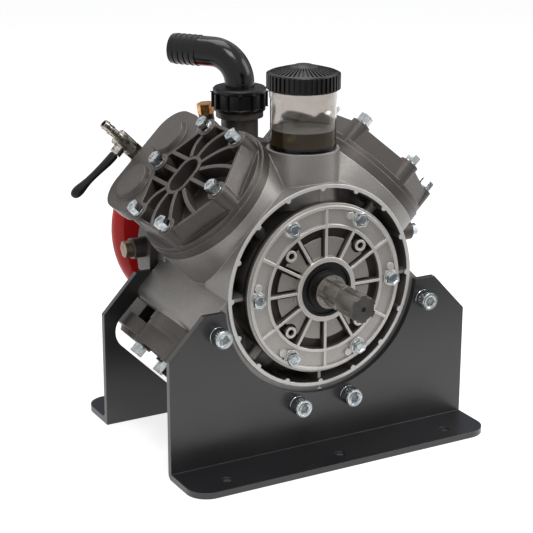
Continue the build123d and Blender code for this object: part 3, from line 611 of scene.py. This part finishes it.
class PUMP_OT_finishes(bpy.types.Operator):
    """Give the CAD pieces their finishes"""

    bl_idname = "pump.finishes"
    bl_label = "Finishes"

    def execute(self, context):
        colours = context.scene.pump_colours
        # edge colours below are painted along edges, as wear and as a painted edge highlight
        crankcase = cast_metal("crankcase casting", tuple(colours.casting), metallic=0.55, rough=0.4,
                               grain=0.0003, mottle=0.1, edge_wear_and_highlight=(0.55, 0.53, 0.51), painted_shade=bell_painted_shade)
        cover = cast_metal("bearing cover casting", tuple(colours.cover), metallic=0.7, rough=0.36,
                           grain=0.0002, mottle=0.08, edge_wear_and_highlight=(0.66, 0.64, 0.62), painted_shade=cover_painted_shade)
        head = cast_metal("dark head casting", tuple(colours.head), metallic=0.4, rough=0.4,
                          grain=0.0003, mottle=0.15, edge_wear_and_highlight=(0.30, 0.265, 0.24))
        rail = powder_coat("black powder coat", tuple(colours.rail), rough=0.3)
        zinc = plated("zinc plate", tuple(colours.zinc), rough=0.17, tint=(0.30, 0.34, 0.38))
        nickel = plated("nickel plate", (0.55, 0.52, 0.47), rough=0.16, tint=(0.1, 0.09, 0.08))
        bronze = plated("polished bronze", tuple(colours.bronze), rough=0.3, tint=(0.5, 0.22, 0.07))
        dull_bronze = plated("dull bronze", (0.36, 0.28, 0.21), rough=0.45, tint=(0.2, 0.15, 0.11))
        steel = turned_steel("oiled shaft steel", (0.38, 0.36, 0.34), rough=0.27)
        rubber = moulded("seal rubber", (0.003, 0.003, 0.003), rough=0.4, texture=0.00005)
        gloss = moulded("gloss black plastic", tuple(colours.plastic), rough=0.16, texture=0.00003)
        matt = moulded("black cap plastic", tuple(colours.plastic), rough=0.36, texture=0.00008)
        for finish, wearers in (
            (crankcase, ["crankcase"]),
            (cover, ["bearing_cover"]),
            (head, ["head_" + key for key in HEAD_TURNS] + ["rear_manifold", "right_port"]),
            (rail, ["front_rail", "rear_rail"]),
            (zinc, ["head_bolts_" + key for key in HEAD_TURNS]),
            (zinc, ["front_rail_bolts", "rear_rail_bolts", "cover_bolts", "right_port_bolt"]),
            (nickel, ["tap_body"]),
            (bronze, ["top_plug"]),
            (dull_bronze, ["side_plug"]),
            (steel, ["drive_shaft"]),
            (rubber, ["shaft_seal"]),
            (gloss, ["suction_elbow"]),
            (matt, ["suction_nut", "oil_cup_cap", "tap_lever"]),
            (gloss_paint("damper red paint", tuple(colours.red)), ["pulsation_damper"]),
            (clear_glass("cup glass", (0.68, 0.65, 0.62)), ["oil_cup_glass"]),
            (dark_oil("dark oil", (0.030, 0.018, 0.004)), ["oil"]),
        ):
            for node in wearers:
                dress(node, finish)
        return {"FINISHED"}


class PUMP_OT_head_bolts(bpy.types.Operator):
    """Hexagon bolts of the four heads, with dished tops and washer faces"""

    bl_idname = "pump.head_bolts"
    bl_label = "Head bolts"

    def execute(self, context):
        master = hex_bolt(HEAD_BOLT_AF, HEAD_BOLT_H, washer=0.0004, dish=0.0016)
        for key, turn in HEAD_TURNS.items():
            places = []
            for index in range(BOLTS_PER_RING):
                around = radians(360 / BOLTS_PER_RING * index)
                at = (HEAD_BOLT_RING * cos(around), HEAD_BOLT_RING * sin(around), HEAD_TOP)
                spin = Matrix.Rotation(radians(HEAD_BOLT_SPIN * index), 4, "Z")
                places.append(head_frame(turn) @ Matrix.Translation(at) @ spin)
            finish_piece("head_screws_" + key, gather(master, places), "zinc plate",
                         ["head_bolts_" + key])
        return {"FINISHED"}


class PUMP_OT_cover_bolts(bpy.types.Operator):
    """Hexagon bolts of the bearing cover"""

    bl_idname = "pump.cover_bolts"
    bl_label = "Cover bolts"

    def execute(self, context):
        master = hex_bolt(COVER_BOLT_AF, COVER_BOLT_H, washer=0.0015, dish=0.0008)
        places = []
        for index in range(BOLTS_PER_RING):
            around = radians(360 / BOLTS_PER_RING * index)
            places.append(front_place(COVER_BOLT_RING * cos(around), COVER_BOLT_RING * sin(around),
                                      COVER_FACE_Y, radians(COVER_BOLT_SPIN * index)))
        finish_piece("cover_screws", gather(master, places), "zinc plate", ["cover_bolts"])
        return {"FINISHED"}


class PUMP_OT_rail_bolts(bpy.types.Operator):
    """Knurled socket bolts with flat washers on both rails"""

    bl_idname = "pump.rail_bolts"
    bl_label = "Rail bolts"

    def execute(self, context):
        bm = bmesh.new()
        # washer, then the head with its socket
        lathe(bm, [
            (0, 0), (0.0115, 0), (0.0118, 0.0004), (0.0118, 0.0022), (0.0115, 0.0026), (0.0110, 0.0026),
            (0.0114, 0.0032), (SCREW_R, 0.004), (SCREW_R, SCREW_H - 0.0012), (SCREW_R - 0.0008, SCREW_H),
            (0.0086, SCREW_H), (0.0078, SCREW_H - 0.0006), (SOCKET_R, SCREW_H - 0.0010), (SOCKET_R, SOCKET_Z),
            (0, SOCKET_Z - 0.0010),
        ], 48)
        # the socket's round wall becomes a hexagon
        for vert in bm.verts:
            around = atan2(vert.co.y, vert.co.x) % (pi / 3) - pi / 6
            if abs(vert.co.xy.length - SOCKET_R) < 1e-5:
                vert.co.xy *= cos(pi / 6) / cos(around)
        raise_faces(bm, every_other(side_faces(bm, 0.0045, 0.0165, 0.0110), KNURLS), KNURL_H)
        bmesh.ops.remove_doubles(bm, verts=bm.verts, dist=1e-7)
        bmesh.ops.recalc_face_normals(bm, faces=bm.faces)
        master = as_mesh("rail_bolt_master", bm)
        for side, name in ((-1, "front"), (1, "rear")):
            places = []
            for hand in (-1, 1):
                for turn in (LUG_TURN, 90 - LUG_TURN):
                    x = hand * LUG_RING * cos(radians(turn))
                    z = AXIS_Z - LUG_RING * sin(radians(turn))
                    spun = Matrix.Rotation(-side * pi / 2, 4, "X")
                    places.append(Matrix.Translation((x, side * RAIL_OUT_Y, z)) @ spun)
            finish_piece(name + "_rail_screws", gather(master, places), "zinc plate",
                         [name + "_rail_bolts"])
        return {"FINISHED"}


class PUMP_OT_oil_cup(bpy.types.Operator):
    """Oil cup: thick moulded glass, the oil with its meniscus and the ribbed cap"""

    bl_idname = "pump.oil_cup"
    bl_label = "Oil cup"

    def execute(self, context):
        centre = Matrix.Translation((0, CUP_Y, 0))
        # glass
        bm = bmesh.new()
        bore = GLASS_R - GLASS_WALL
        floor_z = CUP_BASE_Z + GLASS_WALL
        lathe(bm, [
            (0, CUP_BASE_Z), (GLASS_R - 0.001, CUP_BASE_Z), (GLASS_R, CUP_BASE_Z + 0.001),
            (GLASS_R, CUP_BASE_Z + 0.010), (GLASS_R - 0.0008, CUP_BASE_Z + 0.012),
            (GLASS_R - 0.0008, GLASS_TOP_Z - 0.012), (GLASS_R, GLASS_TOP_Z - 0.010), (GLASS_R, GLASS_TOP_Z),
            (bore, GLASS_TOP_Z), (bore, floor_z + 0.002), (bore - 0.002, floor_z), (0, floor_z),
        ], 96)
        bmesh.ops.transform(bm, matrix=centre, verts=bm.verts)
        finish_piece("cup_glass", bm, "cup glass", ["oil_cup_glass"])
        # oil, standing up a little at the glass
        bm = bmesh.new()
        reach = bore + 0.0001
        lathe(bm, [
            (0, floor_z + 0.0001), (reach - 0.002, floor_z + 0.0001), (reach, floor_z + 0.0021),
            (reach, OIL_TOP_Z), (reach - 0.0012, OIL_TOP_Z - 0.0009), (reach - 0.003, OIL_TOP_Z - 0.0012),
            (0, OIL_TOP_Z - 0.0013),
        ], 96)
        bmesh.ops.transform(bm, matrix=centre, verts=bm.verts)
        finish_piece("cup_oil", bm, "dark oil", ["oil"])
        # cap: a ribbed band under a low dome
        bm = bmesh.new()
        band_z = GLASS_TOP_Z + CAP_BAND_H
        lathe(bm, [
            (0, GLASS_TOP_Z), (CAP_R - 0.0032, GLASS_TOP_Z), (CAP_R - 0.0024, GLASS_TOP_Z + 0.0008),
            (CAP_R - 0.0022, GLASS_TOP_Z + 0.0016), (CAP_R - 0.0022, band_z - 0.0012),
            (CAP_R - 0.0030, band_z), (CAP_R - 0.0052, band_z + 0.0010), (0.0300, band_z + 0.0042),
            (0.0180, band_z + 0.0072), (0.0120, band_z + 0.0084), (0.0108, band_z + 0.0094),
            (0.0060, CAP_TOP_Z - 0.0003), (0, CAP_TOP_Z - 0.0003),
        ], 176)
        grip = side_faces(bm, GLASS_TOP_Z + 0.0012, band_z - 0.0008, CAP_R - 0.0035)
        raise_faces(bm, every_other(grip, CAP_RIBS, 0.55), CAP_RIB_H)
        # radial slots sunk into the dome
        slots = every_other(side_faces(bm, band_z + 0.0008, band_z + 0.0070, 0.0180), CAP_RIBS)
        bmesh.ops.translate(bm, verts=extruded(bm, slots), vec=(0, 0, -CAP_SLOT_H))
        bmesh.ops.recalc_face_normals(bm, faces=bm.faces)
        bmesh.ops.transform(bm, matrix=centre, verts=bm.verts)
        finish_piece("cup_cap", bm, "black cap plastic", ["oil_cup_cap"], sharp=30)
        return {"FINISHED"}


class PUMP_OT_suction_nut(bpy.types.Operator):
    """Lugged union nut under the suction elbow"""

    bl_idname = "pump.suction_nut"
    bl_label = "Suction nut"

    def execute(self, context):
        bm = bmesh.new()
        top_z = NUT_Z + NUT_H
        lathe(bm, [
            (0, NUT_Z), (NUT_R - 0.003, NUT_Z), (NUT_R - 0.0015, NUT_Z + 0.001),
            (NUT_R - 0.001, NUT_Z + 0.005), (NUT_R - 0.002, NUT_Z + 0.006), (NUT_R - 0.002, top_z - 0.007),
            (NUT_R, top_z - 0.006), (NUT_R, top_z - 0.002), (NUT_R - 0.002, top_z), (0, top_z),
        ], 96)
        lugs = side_faces(bm, NUT_Z + 0.0055, top_z - 0.0065, NUT_R - 0.006)
        raise_faces(bm, every_other(lugs, NUT_LUGS, 0.26), NUT_LUG_H)
        bmesh.ops.recalc_face_normals(bm, faces=bm.faces)
        sharp = [e for e in bm.edges if len(e.link_faces) == 2 and e.calc_face_angle(0) > radians(50)
                 and max(v.co.xy.length for v in e.verts) > NUT_R]
        bmesh.ops.bevel(bm, geom=sharp, offset=0.0005, affect="EDGES", segments=2, profile=0.5, material=-1,
                        clamp_overlap=True)
        bmesh.ops.transform(bm, matrix=Matrix.Translation((0, PORT_Y, 0)), verts=bm.verts)
        finish_piece("union_nut", bm, "black cap plastic", ["suction_nut"])
        return {"FINISHED"}


def next_ring(bm, edges, move, scale, about):
    """Extrudes an open ring of edges and moves and scales the new ring."""
    made = bmesh.ops.extrude_edge_only(bm, edges=edges)
    verts = new_verts(made)
    bmesh.ops.translate(bm, verts=verts, vec=move)
    bmesh.ops.scale(bm, verts=verts, vec=scale, space=Matrix.Translation(-Vector(about)))
    return [e for e in made["geom"] if isinstance(e, bmesh.types.BMEdge) and e.is_boundary]


class PUMP_OT_suction_elbow(bpy.types.Operator):
    """Moulded elbow with a low-barbed hose tail"""

    bl_idname = "pump.suction_elbow"
    bl_label = "Suction elbow"

    def execute(self, context):
        bm = bmesh.new()
        bmesh.ops.create_circle(bm, cap_ends=True, segments=64, radius=ELBOW_R)
        ring = next_ring(bm, list(bm.edges), (0, 0, ELBOW_RISE), (1, 1, 1), (0, 0, 0))
        centre = (ELBOW_BEND_R, 0, ELBOW_RISE)
        verts = list({v for e in ring for v in e.verts})
        made = bmesh.ops.spin(bm, geom=verts + ring, cent=centre, axis=(0, 1, 0), dvec=(0, 0, 0),
                              angle=pi / 2, steps=24, use_merge=False, use_duplicate=False)
        ring = [g for g in made["geom_last"] if isinstance(g, bmesh.types.BMEdge)]
        # tail: (distance from the bend, radius), with saw teeth that lean away from the mouth
        line = [(0.0010, ELBOW_R)]
        first = TAIL_LEN - BARBS * BARB_PITCH
        line += [(first - 0.0012, ELBOW_R), (first, BARB_R)]
        for index in range(BARBS):
            near = first + BARB_PITCH * index
            line += [(near + 0.0010, BARB_R), (near + BARB_PITCH - 0.0012, TAIL_R)]
            if index < BARBS - 1:
                line += [(near + BARB_PITCH, BARB_R)]
        line += [(TAIL_LEN - 0.0004, TAIL_R), (TAIL_LEN, TAIL_R - 0.0008), (TAIL_LEN, TAIL_BORE_R + 0.0008),
                 (TAIL_LEN - 0.0008, TAIL_BORE_R), (0.004, TAIL_BORE_R)]
        height = ELBOW_RISE + ELBOW_BEND_R
        place, radius = 0.0, ELBOW_R
        for distance, reach in line:
            share = reach / radius
            ring = next_ring(bm, ring, (distance - place, 0, 0), (1, share, share),
                             (ELBOW_BEND_R + distance, 0, height))
            place, radius = distance, reach
        bmesh.ops.contextual_create(bm, geom=ring)
        bmesh.ops.remove_doubles(bm, verts=bm.verts, dist=1e-6)
        bmesh.ops.recalc_face_normals(bm, faces=bm.faces)
        spot = Matrix.Translation((0, PORT_Y, NUT_Z + NUT_H)) @ Matrix.Rotation(radians(ELBOW_TURN), 4, "Z")
        bmesh.ops.transform(bm, matrix=spot, verts=bm.verts)
        finish_piece("elbow_spigot", bm, "gloss black plastic", ["suction_elbow"],
                     sharp=28)
        return {"FINISHED"}


class PUMP_OT_tap_lever(bpy.types.Operator):
    """Sleeved tap lever with a swollen end"""

    bl_idname = "pump.tap_lever"
    bl_label = "Tap lever"

    def execute(self, context):
        bm = bmesh.new()
        along, lean, wide, thick = LEVER_STATIONS[0]
        bmesh.ops.create_circle(bm, cap_ends=True, segments=20, radius=1.0)
        bmesh.ops.scale(bm, verts=bm.verts, vec=(wide, thick, 1))
        bmesh.ops.translate(bm, verts=bm.verts, vec=(lean, 0, along))
        ring = list(bm.edges)
        for station in LEVER_STATIONS[1:]:
            move = (station[1] - lean, 0, station[0] - along)
            scale = (station[2] / wide, station[3] / thick, 1)
            ring = next_ring(bm, ring, move, scale, (station[1], 0, station[0]))
            along, lean, wide, thick = station
        bmesh.ops.contextual_create(bm, geom=ring)
        bmesh.ops.recalc_face_normals(bm, faces=bm.faces)
        # Z along the stem, X to the rear
        out = Vector((cos(radians(TAP_TURN)), 0, sin(radians(TAP_TURN))))
        stem = Vector((-out.z, 0, out.x))
        root = Vector((0, OUTLET_Y, AXIS_Z)) + out * TAP_STEM_H
        side = stem.cross(Vector((0, 1, 0)))
        bmesh.ops.transform(bm, verts=bm.verts, matrix=Matrix((
            (0, side.x, stem.x, root.x),
            (1, side.y, stem.y, root.y),
            (0, side.z, stem.z, root.z),
            (0, 0, 0, 1),
        )))
        obj = finish_piece("lever_grip", bm, "black cap plastic", ["tap_lever"],
                           sharp=60, body="lever")
        round_off = obj.modifiers.new("round", "SUBSURF")
        round_off.levels = round_off.render_levels = 2
        return {"FINISHED"}


# Stage


def backdrop_rays(tree):
    """One where a ray comes from the camera, a reflection or through glass."""
    path = tree.nodes.new("ShaderNodeLightPath")
    first = tree.nodes.new("ShaderNodeMath")
    first.operation = "MAXIMUM"
    tree.links.new(path.outputs["Is Camera Ray"], first.inputs[0])
    tree.links.new(path.outputs["Is Transmission Ray"], first.inputs[1])
    both = tree.nodes.new("ShaderNodeMath")
    both.operation = "MAXIMUM"
    tree.links.new(first.outputs[0], both.inputs[0])
    tree.links.new(path.outputs["Is Glossy Ray"], both.inputs[1])
    return both.outputs[0]


def floor_material():
    """A pale matt floor that glows to white where it is seen."""
    material = bpy.data.materials.new("pale floor")
    material.use_nodes = True
    tree = material.node_tree
    tree.nodes.remove(tree.nodes["Principled BSDF"])
    diffuse = tree.nodes.new("ShaderNodeBsdfDiffuse")
    diffuse.inputs["Color"].default_value = FLOOR_TONE
    glow = tree.nodes.new("ShaderNodeEmission")
    glow.inputs["Color"].default_value = (1, 1, 1, 1)
    level = tree.nodes.new("ShaderNodeMath")
    level.operation = "MULTIPLY"
    level.inputs[1].default_value = FLOOR_GLOW
    tree.links.new(backdrop_rays(tree), level.inputs[0])
    tree.links.new(level.outputs[0], glow.inputs["Strength"])
    both = tree.nodes.new("ShaderNodeAddShader")
    tree.links.new(diffuse.outputs[0], both.inputs[0])
    tree.links.new(glow.outputs[0], both.inputs[1])
    tree.links.new(both.outputs[0], tree.nodes["Material Output"].inputs["Surface"])
    return material


def studio_world():
    """White where it is seen, and a soft light with a darker ground for the rest."""
    world = bpy.data.worlds.new("studio")
    world.use_nodes = True
    tree = world.node_tree
    coords = tree.nodes.new("ShaderNodeTexCoord")
    split = tree.nodes.new("ShaderNodeSeparateXYZ")
    tree.links.new(coords.outputs["Generated"], split.inputs[0])
    lift = tree.nodes.new("ShaderNodeMapRange")
    lift.inputs["From Min"].default_value = -1
    tree.links.new(split.outputs["Z"], lift.inputs["Value"])
    ramp = tree.nodes.new("ShaderNodeValToRGB")
    ground, sky = ramp.color_ramp.elements
    ground.position, ground.color = 0.35, GROUND_TONE
    sky.position, sky.color = 0.9, SKY_TONE
    tree.links.new(lift.outputs["Result"], ramp.inputs["Fac"])
    light = tree.nodes["Background"]
    light.inputs["Strength"].default_value = SKY_STRENGTH
    tree.links.new(ramp.outputs["Color"], light.inputs["Color"])
    white = tree.nodes.new("ShaderNodeBackground")
    white.inputs["Color"].default_value = (1, 1, 1, 1)
    mix = tree.nodes.new("ShaderNodeMixShader")
    tree.links.new(backdrop_rays(tree), mix.inputs[0])
    tree.links.new(light.outputs[0], mix.inputs[1])
    tree.links.new(white.outputs[0], mix.inputs[2])
    tree.links.new(mix.outputs[0], tree.nodes["World Output"].inputs["Surface"])
    return world


def stage_plane(name, half, place, material):
    """A square of the stage, moved and stretched by a matrix."""
    bm = bmesh.new()
    bmesh.ops.create_grid(bm, x_segments=1, y_segments=1, size=half)
    bmesh.ops.transform(bm, matrix=place, verts=bm.verts)
    obj = bpy.data.objects.new(name, as_mesh(name, bm))
    bpy.context.scene.collection.objects.link(obj)
    obj.data.materials.append(material)
    return obj


def reflection_card(name, place, turns, sizes, tone):
    """A card that only reflections see."""
    tilt, turn = turns
    at = Matrix.Translation(place) @ Matrix.Rotation(radians(turn), 4, "Z")
    at = at @ Matrix.Rotation(radians(tilt), 4, "X") @ Matrix.Diagonal((*sizes, 1, 1))
    dull = bpy.data.materials.new(name)
    dull.use_nodes = True
    dull.node_tree.nodes["Principled BSDF"].inputs["Base Color"].default_value = tone
    card = stage_plane(name, 1.0, at, dull)
    for ray in ("camera", "diffuse", "transmission", "shadow"):
        setattr(card, "visible_" + ray, False)


def area_lamp(name, place, size, power):
    """A square lamp that looks at the pump's middle."""
    lamp = bpy.data.lights.new(name, "AREA")
    lamp.shape = "SQUARE"
    lamp.size = size
    lamp.energy = power
    obj = bpy.data.objects.new(name, lamp)
    obj.location = place
    obj.rotation_euler = (Vector(LIT_POINT) - Vector(place)).to_track_quat("-Z", "Y").to_euler()
    bpy.context.scene.collection.objects.link(obj)


def photo_camera(lens):
    """The camera at its fitted place, turned by yaw, pitch and roll."""
    data = bpy.data.cameras.new("photo_camera")
    data.sensor_width = 36
    data.lens = lens
    camera = bpy.data.objects.new("photo_camera", data)
    yaw, pitch, roll = radians(CAMERA_YAW), radians(CAMERA_PITCH), radians(CAMERA_ROLL)
    ahead = Vector((sin(yaw) * cos(pitch), cos(yaw) * cos(pitch), -sin(pitch)))
    right = Vector((cos(yaw), -sin(yaw), 0))
    up = right.cross(ahead)
    right, up = right * cos(roll) + up * sin(roll), up * cos(roll) - right * sin(roll)
    camera.matrix_world = Matrix((
        (right.x, up.x, -ahead.x, CAMERA_AT.x),
        (right.y, up.y, -ahead.y, CAMERA_AT.y),
        (right.z, up.z, -ahead.z, CAMERA_AT.z),
        (0, 0, 0, 1),
    ))
    bpy.context.scene.collection.objects.link(camera)
    return camera


class PUMP_OT_stage(bpy.types.Operator):
    """Floor, backdrop, lights and camera"""

    bl_idname = "pump.stage"
    bl_label = "Stage"

    def execute(self, context):
        scene = context.scene
        scene.view_settings.view_transform = "Standard"
        stage_plane("stage_floor", FLOOR_HALF, Matrix.Translation((0, 0, FLOOR_Z)), floor_material())
        scene.world = studio_world()
        for card in CARDS:
            reflection_card(*card)
        for name, place, size, power in LAMPS:
            area_lamp(name, place, size, getattr(scene.pump_view, power))
        scene.camera = photo_camera(scene.pump_view.lens)
        return {"FINISHED"}


# Add-on


class PUMP_PT_panel(bpy.types.Panel):
    """Buttons that dress the pump"""

    bl_idname = "PUMP_PT_panel"
    bl_label = "Pump"
    bl_space_type = "VIEW_3D"
    bl_region_type = "UI"
    bl_category = "Pump"

    def draw(self, context):
        for group in (context.scene.pump_colours, context.scene.pump_view):
            for key in group.__annotations__:
                self.layout.prop(group, key)
        for operator in OPERATORS:
            self.layout.operator(operator.bl_idname)


GROUPS = (PumpColours, PumpView)
OPERATORS = (
    PUMP_OT_finishes,
    PUMP_OT_head_bolts,
    PUMP_OT_cover_bolts,
    PUMP_OT_rail_bolts,
    PUMP_OT_oil_cup,
    PUMP_OT_suction_nut,
    PUMP_OT_suction_elbow,
    PUMP_OT_tap_lever,
    PUMP_OT_stage,
)


def register():
    for item in GROUPS + OPERATORS + (PUMP_PT_panel,):
        bpy.utils.register_class(item)
    bpy.types.Scene.pump_colours = bpy.props.PointerProperty(type=PumpColours)
    bpy.types.Scene.pump_view = bpy.props.PointerProperty(type=PumpView)


def unregister():
    del bpy.types.Scene.pump_view
    del bpy.types.Scene.pump_colours
    for item in reversed(GROUPS + OPERATORS + (PUMP_PT_panel,)):
        bpy.utils.unregister_class(item)


def main():
    register()
    bpy.ops.pump.finishes()
    bpy.ops.pump.head_bolts()
    bpy.ops.pump.cover_bolts()
    bpy.ops.pump.rail_bolts()
    bpy.ops.pump.oil_cup()
    bpy.ops.pump.suction_nut()
    bpy.ops.pump.suction_elbow()
    bpy.ops.pump.tap_lever()
    bpy.ops.pump.stage()


if __name__ == "__main__":
    main()
